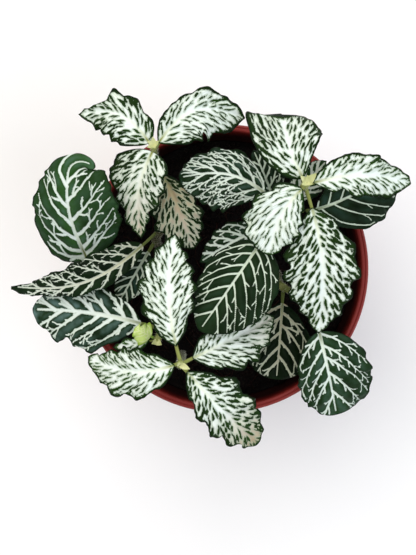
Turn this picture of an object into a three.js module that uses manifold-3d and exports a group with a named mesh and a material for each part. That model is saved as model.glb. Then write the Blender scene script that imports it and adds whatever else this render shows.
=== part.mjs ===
// A potted nerve plant: a moulded nursery pot, its soil, seven leafy stems and their opposite leaves.
// Millimetres, +Z up, origin at the middle of the pot's underside.

import * as THREE from "three";
import { mergeVertices } from "three/addons/utils/BufferGeometryUtils.js";
import Module from "manifold-3d";

const wasm = await Module();
wasm.setup();

// Driving dimensions
const potHeight = 108;
const rimRadius = 70;
const rimTopWidth = 3.8;
const skirtDepth = 11;
const baseRadius = 49;
const wall = 1.6;
const footHeight = 3;
const footWidth = 2.4;
const centrePadRadius = 14;
const drainCount = 6;
const drainRadius = 4;
const drainCircle = 31;
const potSides = 36;
const soilDepthBelowRim = 15;
const soilRoughness = 1.4;
const soilSides = 24;
const gap = 0.3;
const stemRadius = 1.9;
const stemTopRadius = 1.5;
const jointSwell = 1.25;
const rootedDepth = 18;
const bladeThickness = 0.8;
const stalkRadius = 1.1;
const ribRadius = 0.5;
const leafStart = 2.4;

const up = new THREE.Vector3(0, 0, 1);
const soilLevel = potHeight - soilDepthBelowRim;
const wallTopRadius = rimRadius - rimTopWidth + wall;

// Stems: where each leaves the soil (x, y) and the joints that carry its leaves, lowest first
const stems = {
  stem_back_left: {
    foot: [-33, 45],
    joints: { backLeftLow: [-32.5, 50.5, 131], backLeft: [-32, 54.5, 146] },
  },
  stem_back_right: {
    foot: [19, 14],
    joints: {
      rightBase: [24, 22, 115], rightLow: [25.5, 25, 127], rightMid: [27, 27.5, 138],
      backRight: [35, 36.5, 160],
    },
  },
  stem_front: { foot: [-20.5, -42], joints: { front: [-20, -43, 150] } },
  stem_middle_left: {
    foot: [-27, 6],
    joints: { middleLow: [-32.5, 13.5, 117], middleLeft: [-30, 17, 126] },
  },
  stem_young: { foot: [-27, -19], joints: { youngLow: [-29.5, -28, 125], young: [-31, -33, 132] } },
  stem_right: {
    foot: [27, -2],
    joints: { rightFrontLow: [28, -9, 117], rightFront: [40, -14.5, 127] },
  },
  stem_left: { foot: [-46, 4], joints: { left: [-64.6, 1.9, 118.5] } },
};

// Buds and bracts at each stem's top: heading from +X and lift in degrees, length, thickness
const buds = {
  stem_back_left: [[120, 50, 5, 1.3], [300, 55, 4.5, 1.2], [30, 40, 3.5, 1], [205, 45, 3.5, 1]],
  stem_back_right: [[115, 45, 5, 1.3], [55, 40, 5.5, 1.3], [200, 60, 4, 1.1], [335, 55, 4, 1.1]],
  stem_front: [[105, 60, 5, 1.1], [338, 25, 8, 1.1]],
  stem_middle_left: [[40, 60, 3, 1]],
  stem_young: [[20, 35, 5.5, 1.6], [60, 65, 5, 1.4]],
  stem_right: [[70, 60, 3, 1]],
  stem_left: [[350, 60, 2.5, 1]],
};

// Leaves: the joint each grows from, how far below it, and where its tip is; how far it arches up and bows
// to its right on the way; its half widths to the left and right; where along the blade it is widest; how
// full its base and its tip are (smaller is fuller); the bare share of its length; its twist about the
// midrib in degrees; how many side veins it has on each side
const leafDefaults = {
  drop: 0, arch: 5, bow: 0, peak: 0.5, wide: [8, 8], widest: 0.45, base: 0.7, point: 0.9, stalk: 0.12,
  roll: [0, 0], fold: 14, curl: 34, wave: 1, veins: 5, lean: 0.12, puff: 0.7, lobe: 0.06, columns: 6,
  look: "white",
};
const smallLeaf = { columns: 4, veins: 3, lobe: 0.03, look: "dark" };
const leaves = [
  { name: "leaf_back_left_1", on: "backLeft", tip: [-67, 70.5, 134], arch: 7, bow: 6.5, wide: [11.5, 9.8],
    widest: 0.42, base: 0.5, stalk: 0.03 },
  { name: "leaf_back_left_2", on: "backLeft", tip: [9, 68.5, 138], arch: 8, bow: -9, wide: [9, 15.5],
    widest: 0.52, base: 0.65, stalk: 0.03 },
  { name: "leaf_back_left_3", on: "backLeft", tip: [-38, 13.5, 138], arch: 3, bow: 4, wide: [12, 13],
    widest: 0.33, base: 0.4, stalk: 0.03, roll: [11, 15] },
  { name: "leaf_back_left_4", on: "backLeftLow", tip: [-14.5, 9, 126], arch: 5, bow: -1, wide: [9.8, 13],
    widest: 0.56, base: 0.9, point: 0.65, stalk: 0.14, look: "tan" },
  { name: "leaf_back_right_1", on: "backRight", drop: 2, tip: [26, 67.5, 148], arch: 8, bow: -2.5,
    wide: [15.5, 16.5], widest: 0.8, base: 0.8, point: 0.26, stalk: 0.05 },
  { name: "leaf_back_right_2", on: "backRight", tip: [83.5, 38, 144], arch: 6, bow: -3.5, wide: [9.6, 10],
    widest: 0.42, point: 0.62, stalk: 0.04 },
  { name: "leaf_back_right_3", on: "backRight", tip: [19, 5.5, 154], arch: 3, bow: 3.5, wide: [11, 14.5],
    widest: 0.6, point: 0.65, stalk: 0.04 },
  { name: "leaf_back_right_4", on: "backRight", drop: 2.5, tip: [43, -30, 134], arch: 6, bow: -4,
    wide: [16, 17.5], widest: 0.48, base: 0.75, stalk: 0.14, veins: 6 },
  { name: "leaf_right_dark", on: "rightMid", tip: [81, 45.5, 124], arch: 5, bow: 5.5, peak: 0.28,
    wide: [12, 17], widest: 0.5, point: 0.7, stalk: 0.2, lobe: 0.02, look: "dark" },
  { name: "leaf_middle_netted", on: "rightMid", tip: [-21, 41.5, 134], arch: 8, bow: 7, wide: [17, 11.5],
    widest: 0.5, point: 0.55, stalk: 0.16, look: "netted" },
  { name: "leaf_middle_small", on: "rightLow", tip: [13.5, 55, 126], wide: [7, 9], lobe: 0.03, columns: 4,
    look: "dark" },
  { name: "leaf_middle_large", on: "rightMid", tip: [-11.5, -28, 148], arch: 9, wide: [20, 14.6], base: 0.45,
    point: 0.6, stalk: 0.27, lobe: 0.02, roll: [10, 10], veins: 6, look: "dark" },
  { name: "leaf_middle_behind", on: "rightBase", tip: [-11.5, 3, 121], bow: 1, wide: [10, 9],
    look: "netted" },
  { name: "leaf_front_1", on: "front", tip: [-22.5, 15.5, 144], arch: 6, bow: -4, wide: [12.8, 12.2],
    widest: 0.5, base: 0.8, veins: 6 },
  { name: "leaf_front_2", on: "front", tip: [-63, -41, 130], arch: 6, bow: -4.5, wide: [12, 10.3],
    widest: 0.48, point: 0.75, stalk: 0.03 },
  { name: "leaf_front_3", on: "front", tip: [15, -81.5, 130], arch: 6, bow: 0.5, wide: [13.6, 11],
    widest: 0.58, point: 0.55, stalk: 0.06 },
  { name: "leaf_front_4", on: "front", drop: 2, tip: [23.2, -22.5, 128], arch: 2, wide: [11, 14.5],
    widest: 0.52, stalk: 0.1, roll: [-6, -6] },
  { name: "leaf_left_round", on: "left", tip: [-68.5, 51, 150], arch: 11, bow: -4, wide: [16.8, 23.8],
    widest: 0.42, base: 0.38, point: 0.5, stalk: 0.03, lobe: 0.015, roll: [-9, -17], veins: 6,
    look: "netted" },
  { name: "leaf_left_long", on: "middleLeft", tip: [-101, -8.5, 116], arch: 13, bow: -10.5,
    wide: [5.8, 10.5], widest: 0.32, base: 0.48, stalk: 0.1, veins: 6, look: "tan" },
  { name: "leaf_left_low", on: "youngLow", tip: [-91.5, -19.5, 112], arch: 6, bow: 2.5, wide: [17, 13],
    widest: 0.5, point: 0.55, lobe: 0.06, look: "netted" },
  { name: "leaf_right_low", on: "rightFrontLow", tip: [25, -53, 112], arch: 3, wide: [15, 15.5],
    widest: 0.6, point: 0.4, lobe: 0.03, look: "dark" },
  { name: "leaf_right_round", on: "rightFront", tip: [54, -70, 110], arch: 8, bow: 0, wide: [21.5, 15],
    widest: 0.58, base: 0.5, point: 0.45, stalk: 0.24, lobe: 0.02, veins: 6, look: "netted" },
  { name: "leaf_young_1", on: "young", drop: -2.3, tip: [-41, -27.2, 138.6], arch: 2, wide: [4.6, 4.6],
    base: 0.45, point: 0.5, stalk: 0.1, puff: 0.2, wave: 0.3, columns: 4, veins: 3, look: "young" },
  { name: "leaf_young_2", on: "young", drop: 1, tip: [-51.5, -36.5, 134], arch: 5.5, wide: [3.4, 3.4],
    puff: 0.2, wave: 0.3, columns: 4, veins: 3 },
  { name: "leaf_right_small", on: "rightMid", drop: 3.6, tip: [47, 49.5, 130], arch: 4, ...smallLeaf },
  { name: "leaf_left_small", on: "middleLow", tip: [-51, -18, 118], arch: 3, ...smallLeaf },
];

const finishes = {
  pot: new THREE.MeshStandardMaterial({ color: "#8a2f28", roughness: 0.45, metalness: 0 }),
  soil: new THREE.MeshStandardMaterial({ color: "#17100c", roughness: 1, metalness: 0 }),
  stem: new THREE.MeshStandardMaterial({ color: "#7d8450", roughness: 0.7, metalness: 0 }),
  white: new THREE.MeshStandardMaterial({ color: "#c3d0c0", roughness: 0.55, metalness: 0 }),
  tan: new THREE.MeshStandardMaterial({ color: "#8d8a68", roughness: 0.55, metalness: 0 }),
  netted: new THREE.MeshStandardMaterial({ color: "#7c967f", roughness: 0.5, metalness: 0 }),
  dark: new THREE.MeshStandardMaterial({ color: "#2f4a35", roughness: 0.5, metalness: 0 }),
  young: new THREE.MeshStandardMaterial({ color: "#b6cf78", roughness: 0.6, metalness: 0 }),
};

// Solids from geometries, and back

function solidOf(geometry) {
  const bare = geometry.clone();
  bare.deleteAttribute("normal");
  bare.deleteAttribute("uv");
  const merged = mergeVertices(bare, 1e-4);
  const corners = [];
  for (let i = 0; i < merged.index.count; i += 3) {
    const [a, b, c] = [0, 1, 2].map((k) => merged.index.getX(i + k));
    if (a !== b && b !== c && c !== a) corners.push(a, b, c);
  }
  const mesh = new wasm.Mesh({
    numProp: 3,
    vertProperties: new Float32Array(merged.attributes.position.array),
    triVerts: new Uint32Array(corners),
  });
  return new wasm.Manifold(mesh);
}

function geometryOf(solid) {
  const mesh = solid.getMesh();
  const geometry = new THREE.BufferGeometry();
  geometry.setAttribute("position", new THREE.BufferAttribute(new Float32Array(mesh.vertProperties), 3));
  geometry.setIndex(new THREE.BufferAttribute(new Uint32Array(mesh.triVerts), 1));
  geometry.computeVertexNormals();
  return geometry;
}

// A closed skin over rings of equally many points, as a solid. The first half of each ring is the upper
// face and the second half the lower one, and both are split along the same diagonals.
function loft(rings) {
  const count = rings[0].length;
  const half = count / 2;
  const corners = [];
  for (let i = 0; i < rings.length - 1; i++) {
    for (let j = 0; j < count; j++) {
      const next = (j + 1) % count;
      const [a, b, c, d] = [i * count + j, i * count + next, (i + 1) * count + next, (i + 1) * count + j];
      if (j < half) corners.push(a, b, c, a, c, d);
      else corners.push(a, b, d, b, c, d);
    }
  }
  const last = (rings.length - 1) * count;
  for (let j = 0; j < half - 1; j++) {
    const [a, b, c, d] = [j, j + 1, count - 2 - j, count - 1 - j];
    corners.push(a, c, b, a, d, c);
    corners.push(last + a, last + b, last + c, last + a, last + c, last + d);
  }
  const points = rings.flat();
  let volume = 0;
  for (let i = 0; i < corners.length; i += 3) {
    const [a, b, c] = [points[corners[i]], points[corners[i + 1]], points[corners[i + 2]]];
    volume += a.dot(b.clone().cross(c));
  }
  if (volume < 0) corners.reverse();
  const geometry = new THREE.BufferGeometry().setFromPoints(points);
  geometry.setIndex(corners);
  return solidOf(geometry);
}

// A ring of points round a centre, across a direction
function ring(centre, direction, radius, sides) {
  const side = new THREE.Vector3(1, 0.01, 0).cross(direction).normalize();
  const other = direction.clone().cross(side).normalize();
  return Array.from({ length: sides }, (_, k) => {
    const angle = (2 * Math.PI * k) / sides;
    return centre.clone()
      .addScaledVector(side, radius * Math.cos(angle))
      .addScaledVector(other, radius * Math.sin(angle));
  });
}

// Pot and soil

function turned(profile, sides) {
  const outline = profile.map(([r, z]) => new THREE.Vector2(r, z));
  return new THREE.LatheGeometry(outline, sides).rotateX(Math.PI / 2);
}

const outerWall = (z) => baseRadius + ((wallTopRadius - baseRadius) * z) / potHeight;
const floorTop = footHeight + wall;

function makePot() {
  const top = potHeight;
  const profile = [
    [0, 0], [centrePadRadius, 0], [centrePadRadius + 1, footHeight],
    [baseRadius - footWidth, footHeight], [baseRadius - footWidth, 0], [outerWall(0), 0],
    [outerWall(top - wall), top - wall], [rimRadius - wall, top - wall],
    [rimRadius - wall, top - skirtDepth], [rimRadius, top - skirtDepth], [rimRadius - 0.2, top - 1],
    [rimRadius - 0.9, top - 0.1], [rimRadius - 1.6, top], [rimRadius - 1.9, top - 0.5],
    [rimRadius - 2.2, top],
    [wallTopRadius - wall + 0.5, top - 0.1], [wallTopRadius - wall, top - 0.8],
    [outerWall(floorTop) - wall, floorTop], [0, floorTop],
  ];
  let pot = solidOf(turned(profile, potSides));
  for (let i = 0; i < drainCount; i++) {
    const angle = (2 * Math.PI * (i + 0.5)) / drainCount;
    const hole = new THREE.CylinderGeometry(drainRadius, drainRadius, 4 * wall, 12).rotateX(Math.PI / 2);
    hole.translate(drainCircle * Math.cos(angle), drainCircle * Math.sin(angle), footHeight + wall / 2);
    pot = pot.subtract(solidOf(hole));
  }
  return pot;
}

function makeSoil(clearances) {
  const inner = (z) => outerWall(z) - wall - gap / Math.cos(Math.PI / soilSides);
  const bottom = floorTop + gap;
  const edge = inner(soilLevel) * Math.cos(Math.PI / potSides) - 0.2;
  const foot = inner(bottom) * Math.cos(Math.PI / potSides) - 0.2;
  const steps = 5;
  const profile = [[0, bottom], [foot, bottom], [edge, soilLevel]];
  for (let i = steps - 1; i >= 0; i--) profile.push([(edge * i) / steps, soilLevel]);
  const geometry = turned(profile, soilSides);
  const place = geometry.attributes.position;
  for (let i = 0; i < place.count; i++) {
    const [x, y, z] = [place.getX(i), place.getY(i), place.getZ(i)];
    if (z < soilLevel - 1 || Math.hypot(x, y) > edge - 1) continue;
    const lump = Math.sin(x * 0.31 + 1.7) * Math.cos(y * 0.27) + 0.6 * Math.sin(x * 0.13 - y * 0.21 + 0.4);
    place.setZ(i, z + soilRoughness * lump);
  }
  let soil = solidOf(geometry);
  for (const clearance of clearances) soil = soil.subtract(clearance);
  return soil;
}

// Stems with their swollen joints, and the same shape grown by the gap, which clears a hole for it

function stemPath(stem) {
  const joints = Object.values(stem.joints).map((p) => new THREE.Vector3(...p));
  const [x, y] = stem.foot;
  const top = joints.at(-1).clone();
  const below = joints.length > 1 ? joints.at(-2) : new THREE.Vector3(x, y, soilLevel);
  top.addScaledVector(top.clone().sub(below).normalize(), 1.6);
  return new THREE.CatmullRomCurve3([
    new THREE.Vector3(x, y, soilLevel - rootedDepth), new THREE.Vector3(x, y, soilLevel - 3), ...joints, top,
  ]);
}

function stemTube(stem, grown) {
  const path = stemPath(stem);
  const joints = Object.values(stem.joints).map((p) => new THREE.Vector3(...p));
  const steps = 4 + 3 * joints.length;
  const rings = [];
  for (let i = 0; i <= steps; i++) {
    const centre = path.getPointAt(i / steps);
    const direction = path.getTangentAt(i / steps);
    const near = Math.min(...joints.map((joint) => joint.distanceTo(centre)));
    const swell = 1 + (jointSwell - 1) * Math.exp(-((near / 2.2) ** 2));
    const radius = (stemRadius + ((stemTopRadius - stemRadius) * i) / steps) * swell;
    if (i === 0) centre.z -= grown;
    if (i === steps) centre.addScaledVector(direction, grown);
    rings.push(ring(centre, direction, radius + grown, 6));
  }
  return loft(rings);
}

function budSolid(top, [heading, lift, length, thickness]) {
  const direction = new THREE.Vector3(1, 0, 0)
    .applyAxisAngle(new THREE.Vector3(0, -1, 0), THREE.MathUtils.degToRad(lift))
    .applyAxisAngle(up, THREE.MathUtils.degToRad(heading));
  const shape = [[-0.2, 0.5], [0.4, 1], [0.8, 0.7], [1, 0.15]];
  return loft(shape.map(([along, wide]) => {
    const centre = top.clone().addScaledVector(direction, along * length);
    return ring(centre, direction, wide * thickness, 6);
  }));
}

function makeStem(name) {
  let solid = stemTube(stems[name], 0);
  const top = stemPath(stems[name]).getPointAt(0.985);
  for (const bud of buds[name]) solid = solid.add(budSolid(top, bud));
  return solid;
}

// Leaves

const hump = (t, peak) => (t <= 0 || t >= 1 ? 0 : Math.sin(Math.PI * t ** (Math.log(0.5) / Math.log(peak))));

const joints = {};
for (const [name, stem] of Object.entries(stems)) {
  for (const [joint, place] of Object.entries(stem.joints)) {
    joints[joint] = { place: new THREE.Vector3(...place), stem: name };
  }
}

// The midrib: straight from the joint to the tip, lifted by its arch and pushed aside by its bow
function midrib(leaf) {
  const joint = joints[leaf.on].place.clone().addScaledVector(up, -leaf.drop);
  const tip = new THREE.Vector3(...leaf.tip);
  const heading = tip.clone().sub(joint).setZ(0).normalize();
  const start = joint.addScaledVector(heading, leafStart);
  const right = heading.clone().cross(up);
  const point = (t) => {
    const h = hump(t, leaf.peak);
    return start.clone().lerp(tip, t).addScaledVector(up, leaf.arch * h).addScaledVector(right, leaf.bow * h);
  };
  const frame = (t) => {
    const along = point(Math.min(t + 0.002, 1)).sub(point(Math.max(t - 0.002, 0))).normalize();
    const normal = up.clone().addScaledVector(along, -along.z).normalize();
    const side = along.clone().cross(normal);
    const twist = THREE.MathUtils.degToRad(leaf.roll[0] + (leaf.roll[1] - leaf.roll[0]) * t);
    return {
      along,
      normal: normal.clone().multiplyScalar(Math.cos(twist)).addScaledVector(side, Math.sin(twist)),
      side: side.clone().multiplyScalar(Math.cos(twist)).addScaledVector(normal, -Math.sin(twist)),
    };
  };
  return { point, frame, length: start.distanceTo(tip) };
}

function halfWidth(leaf, b) {
  if (b <= 0 || b >= 1) return 0;
  if (b < leaf.widest) return Math.sin((Math.PI / 2) * (b / leaf.widest)) ** leaf.base;
  return Math.cos((Math.PI / 2) * ((b - leaf.widest) / (1 - leaf.widest))) ** leaf.point;
}

// A point of the blade's upper face: u runs along it, with its lines leaning along the side veins, and v runs
// from -1 at the left edge to 1 at the right one. The blade folds up from the midrib and curls down to its
// edge, puffs up between the veins, and its margin is lobed and waved.
function bladePoint(leaf, rib, u, v, sink) {
  const across = Math.abs(v);
  const right = v > 0 ? 1 : 0;
  const b = u + leaf.lean * across * Math.sin(Math.PI * u);
  const t = leaf.stalk + (1 - leaf.stalk) * b;
  const { normal, side } = rib.frame(t);
  const between = Math.sin(Math.PI * leaf.veins * u) ** 2;
  const fade = u > 0 && u < 1 ? Math.sqrt(Math.sin(Math.PI * u)) : 0;
  const lobed = 1 + leaf.lobe * across ** 3 * (2 * between - 1) * fade;
  const width = Math.max(leaf.wide[right] * halfWidth(leaf, b), 0.5);
  const reach = across * width * lobed;
  const slope = THREE.MathUtils.degToRad(leaf.fold - (leaf.curl * across) / 2);
  const waved = leaf.wave * across ** 2 * fade * Math.sin(Math.PI * leaf.veins * u + right * 1.9);
  const puffed = leaf.puff * 4 * across * (1 - across) * fade * (0.35 + 0.65 * between);
  return rib.point(t)
    .addScaledVector(side, Math.sign(v) * reach * Math.cos(slope))
    .addScaledVector(normal, reach * Math.sin(slope) + waved + puffed - sink);
}

function makeLeaf(leaf) {
  const rib = midrib(leaf);
  const rows = 2 * leaf.veins;
  const rings = [];
  for (let i = 0; i <= rows; i++) {
    const upper = [];
    const lower = [];
    for (let j = 0; j <= leaf.columns; j++) {
      const v = (2 * j) / leaf.columns - 1;
      upper.push(bladePoint(leaf, rib, i / rows, v, 0));
      lower.unshift(bladePoint(leaf, rib, i / rows, v, bladeThickness));
    }
    rings.push([...upper, ...lower]);
  }
  const blade = loft(rings);
  // The stalk starts inside the joint, is cut back to the gap, and runs on under the blade as its rib
  const stalkEnd = leaf.stalk + 0.2 * (1 - leaf.stalk);
  const stalkSteps = 3;
  const stalkRings = [];
  for (let i = 0; i <= stalkSteps; i++) {
    const t = (stalkEnd * i) / stalkSteps;
    const { along, normal } = rib.frame(t);
    const centre = rib.point(t).addScaledVector(normal, -bladeThickness);
    if (i === 0) centre.addScaledVector(along, -1.4);
    stalkRings.push(ring(centre, along, stalkRadius + ((ribRadius - stalkRadius) * i) / stalkSteps, 6));
  }
  return blade.add(loft(stalkRings)).subtract(clearances[joints[leaf.on].stem]);
}

// The plant in its pot

const clearances = {};
for (const name of Object.keys(stems)) clearances[name] = stemTube(stems[name], gap);

const plant = new THREE.Group();

function place(name, solid, finish) {
  const mesh = new THREE.Mesh(geometryOf(solid), finishes[finish]);
  mesh.name = name;
  plant.add(mesh);
}

place("pot", makePot(), "pot");
place("soil", makeSoil(Object.values(clearances)), "soil");
for (const name of Object.keys(stems)) place(name, makeStem(name), "stem");
for (const row of leaves) {
  const leaf = { ...leafDefaults, ...row };
  place(leaf.name, makeLeaf(leaf), leaf.look);
}

export default plant;
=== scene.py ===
# A potted nerve plant: a moulded red-brown nursery pot, dark soil, hairy stems and white-netted leaves.
# Sizes in the dictionaries are millimetres, and every mesh is made in metres.
import math
from types import SimpleNamespace

import bmesh
import bpy
import numpy as np
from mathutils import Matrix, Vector


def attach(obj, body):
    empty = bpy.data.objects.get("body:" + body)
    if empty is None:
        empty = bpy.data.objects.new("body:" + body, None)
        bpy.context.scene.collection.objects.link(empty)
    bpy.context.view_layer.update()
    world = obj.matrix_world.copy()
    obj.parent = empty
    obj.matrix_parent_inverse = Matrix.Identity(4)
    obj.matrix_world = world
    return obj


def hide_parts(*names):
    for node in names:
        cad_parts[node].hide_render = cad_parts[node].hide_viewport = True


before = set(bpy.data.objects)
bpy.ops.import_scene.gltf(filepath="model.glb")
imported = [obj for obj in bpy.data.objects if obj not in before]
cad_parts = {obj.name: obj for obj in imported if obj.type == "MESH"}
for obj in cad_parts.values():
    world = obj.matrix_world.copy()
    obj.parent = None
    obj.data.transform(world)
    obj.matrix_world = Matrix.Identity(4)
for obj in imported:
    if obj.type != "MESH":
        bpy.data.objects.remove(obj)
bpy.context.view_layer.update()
scene = bpy.context.scene
millimetre = 0.001
up = np.array([0.0, 0.0, 1.0])
soilLevel = 93
seatGap = 0.3  # between touching pieces


# Meshes

class Shape:  # gathers grids of points into one mesh, with a bake map and a number per point and field
    def __init__(self):
        self.points = []
        self.faces = []
        self.corners = []
        self.fields = []
        self.count = 0

    def addPoints(self, points, fields):
        self.points.append(points)
        self.fields.append(fields)
        self.count += len(points)

    def grid(self, points, box=(0, 0, 1, 1), wrap=False, uv=None, **fields):
        rows, columns = points.shape[:2]
        index = self.count + np.arange(rows * columns).reshape(rows, columns)
        spread = {name: np.broadcast_to(value, (rows, columns)).ravel() for name, value in fields.items()}
        self.addPoints(points.reshape(-1, 3), spread)
        around = np.hstack([index, index[:, :1]]) if wrap else index
        if uv is None:
            along = np.linspace(box[0], box[2], rows)
            across = np.linspace(box[1], box[3], around.shape[1])
            uv = np.stack(np.meshgrid(along, across, indexing="ij"), -1)
        self.faces += quadsOf(around).tolist()
        self.corners.append(quadsOf(uv).reshape(-1, 2))
        return index

    def tube(self, rings, box, first, last, **fields):  # a skin round rings of points, closed at both ends
        index = self.grid(rings, box, True, **fields)
        self.cap(index[0][::-1], first)
        self.cap(index[-1], last)

    def strip(self, one, other, box):  # joins two closed loops of points that exist already
        both = np.stack([np.append(one, one[0]), np.append(other, other[0])])
        along = np.linspace(box[0], box[2], both.shape[1])
        uv = np.stack([np.stack([along, np.full_like(along, side)], -1) for side in (box[1], box[3])])
        self.faces += quadsOf(both).tolist()
        self.corners.append(quadsOf(uv).reshape(-1, 2))

    def cap(self, loop, spot):
        angles = np.linspace(0, 2 * np.pi, len(loop), endpoint=False)
        self.faces.append(list(loop))
        self.corners.append(np.array(spot) + 0.004 * np.stack([np.cos(angles), np.sin(angles)], -1))

    def build(self, name, *materials):
        mesh = bpy.data.meshes.new(name)
        mesh.from_pydata((np.concatenate(self.points) * millimetre).tolist(), [], self.faces)
        layer = mesh.uv_layers.new(name="OFBake")
        layer.uv.foreach_set("vector", np.concatenate(self.corners).astype(np.float32).ravel())
        for field in sorted({name for part in self.fields for name in part}):
            values = [part.get(field, np.zeros(len(points)))
                      for part, points in zip(self.fields, self.points)]
            attribute = mesh.attributes.new(field, "FLOAT", "POINT")
            attribute.data.foreach_set("value", np.concatenate(values).astype(np.float32))
        mesh.polygons.foreach_set("use_smooth", [True] * len(self.faces))
        for material in materials:
            mesh.materials.append(material)
        turned = bmesh.new()
        turned.from_mesh(mesh)
        bmesh.ops.recalc_face_normals(turned, faces=turned.faces)
        turned.to_mesh(mesh)
        turned.free()
        piece = bpy.data.objects.new(name, mesh)
        scene.collection.objects.link(piece)
        return piece


def quadsOf(table):  # the four corners of each cell of a table
    cells = np.stack([table[:-1, :-1], table[:-1, 1:], table[1:, 1:], table[1:, :-1]], 2)
    return cells.reshape(-1, 4, *table.shape[2:])


def rimOf(index):  # the points round the edge of a grid, in order
    return np.concatenate([index[:, 0], index[-1, 1:], index[-2::-1, -1], index[0, -2:0:-1]])


def unit(vectors):
    return vectors / np.maximum(np.linalg.norm(vectors, axis=-1, keepdims=True), 1e-9)


def tubeRings(centres, radii, sides, phase=0.0):
    along = unit(np.gradient(centres, axis=0))
    side = unit(np.cross(np.array([1.0, 0.01, 0.0]), along))
    other = np.cross(along, side)
    angles = np.linspace(0, 2 * np.pi, sides, endpoint=False) + phase
    spokes = side[:, None] * np.cos(angles)[None, :, None] + other[:, None] * np.sin(angles)[None, :, None]
    return centres[:, None] + spokes * np.reshape(radii, (-1, 1, 1))


def turnedAbout(points, angle):  # turned about the upright axis
    cos, sin = np.cos(angle), np.sin(angle)
    x, y, z = np.moveaxis(points, -1, 0)
    return np.stack([x * cos - y * sin, x * sin + y * cos, z], -1)


def ripple(rng, x, lengths):  # a smooth irregular wave from -1 to 1, with these wavelengths
    waves = (np.sin(2 * np.pi * x / length + rng.uniform(0, 2 * np.pi)) for length in lengths)
    return sum(waves) / len(lengths)


def finishPiece(piece, slot, *nodes):
    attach(piece, "root")
    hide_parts(*nodes)


# Shader maths

class Wire:  # a socket in a material, so that sums on values read as plain arithmetic
    def __init__(self, tree, socket=None):
        self.tree = tree
        self.socket = socket

    def node(self, kind, settings=None, sockets=None, output=0):
        made = self.tree.nodes.new(kind)
        for name, value in (settings or {}).items():
            setattr(made, name, value)
        for name, value in (sockets or {}).items():
            if isinstance(value, Wire):
                self.tree.links.new(value.socket, made.inputs[name])
            else:
                made.inputs[name].default_value = value
        return Wire(self.tree, made.outputs[output] if made.outputs else None)

    def maths(self, operation, *values):
        return self.node("ShaderNodeMath", {"operation": operation}, dict(enumerate(values)))

    def __add__(self, other):
        return self.maths("ADD", self, other)

    def __sub__(self, other):
        return self.maths("SUBTRACT", self, other)

    def __rsub__(self, other):
        return self.maths("SUBTRACT", other, self)

    def __mul__(self, other):
        return self.maths("MULTIPLY", self, other)

    __radd__ = __add__
    __rmul__ = __mul__

    def step(self, low, high):  # 0 below low, 1 above high, smooth between
        sockets = {"Value": self, "From Min": low, "From Max": high}
        return self.node("ShaderNodeMapRange", {"interpolation_type": "SMOOTHSTEP"}, sockets)

    def mix(self, first, second):  # this value is the share of the second colour
        return self.node("ShaderNodeMix", {"data_type": "RGBA"}, {0: self, 6: first, 7: second}, 2)

    def field(self, name):
        return self.node("ShaderNodeAttribute", {"attribute_name": name}, output="Fac")

    def noise(self, place, perMetre, detail=3.0):
        sockets = {"Vector": place, "Scale": perMetre, "Detail": detail}
        return self.node("ShaderNodeTexNoise", None, sockets)

    def place(self):
        return self.node("ShaderNodeTexCoord", output="Object")

    def stretched(self, place, scale):
        return self.node("ShaderNodeVectorMath", {"operation": "MULTIPLY"}, {0: place, 1: scale})

    def bump(self, height, strength, distance):
        sockets = {"Height": height, "Strength": strength, "Distance": distance}
        return self.node("ShaderNodeBump", None, sockets)


def newMaterial(name):
    material = bpy.data.materials.new(name)
    material.use_nodes = True
    material.node_tree.nodes.clear()
    return material, Wire(material.node_tree)


def layered(colour, *layers):  # lays colours over the first one, each as far as its mask says
    for mask, over in layers:
        colour = mask.mix(colour, over)
    return colour


def setSurface(start, colour, roughness, specular=0.5, bumps=None, strength=0, depth=0):
    sockets = {"Base Color": colour, "Roughness": roughness, "Specular IOR Level": specular}
    if bumps:
        sockets["Normal"] = start.bump(bumps, strength, depth)
    shader = start.node("ShaderNodeBsdfPrincipled", None, sockets)
    start.node("ShaderNodeOutputMaterial", None, {"Surface": shader})


def tint(text):  # a colour as it looks on a screen, as the shader's own numbers
    parts = [int(text[k:k + 2], 16) / 255 for k in (1, 3, 5)]
    return tuple(c / 12.92 if c <= 0.04045 else ((c + 0.055) / 1.055) ** 2.4 for c in parts) + (1.0,)


def tints(colours):
    return SimpleNamespace(**{key: tint(value) for key, value in colours.items()})


# Leaves: each grows from a joint towards its tip, and its numbers are those of the solid that it replaces

joints = {
    "backLeftLow": (-32.5, 50.5, 131), "backLeft": (-32, 54.5, 146),
    "rightBase": (24, 22, 115), "rightLow": (25.5, 25, 127), "rightMid": (27, 27.5, 138),
    "backRight": (35, 36.5, 160), "front": (-20, -43, 150),
    "middleLow": (-32.5, 13.5, 117), "middleLeft": (-30, 17, 126),
    "youngLow": (-29.5, -28, 125), "young": (-31, -33, 132),
    "rightFrontLow": (28, -9, 117), "rightFront": (40, -14.5, 127), "left": (-64.6, 1.9, 118.5),
}

# A pair is for the left and right halves, or for the base and the tip. A lobe is its side, its place along
# the blade, how far it stands out and leans forward, and its half length. The brown tint of the pale part,
# given for the base, the middle and the tip, is painted shade: the warm cast of veins that lie in shade.
# Tone is how light the green is, partly the leaf's own green and partly painted shade on leaves in shadow,
# and the bluish share is a painted sheen on the raised blade.
leafDefaults = dict(
    drop=0, arch=5, bow=0, peak=0.5, wide=(8, 8), widest=0.45, base=0.7, point=0.9, stalk=0.12, roll=(0, 0),
    fold=14, curl=34, wave=1, veins=5, lean=0.12, puff=0.7, lobe=0.06, start=2.4, spacing=0.4, relief=0.8,
    hook=None, lobes=(), look="white", warm=(0, 0, 0), tone=0.3, blue=0.0, skew=(1, 1), fan=0, crowd=1.25,
    splay=(12, 12), taper=0.976)

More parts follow.
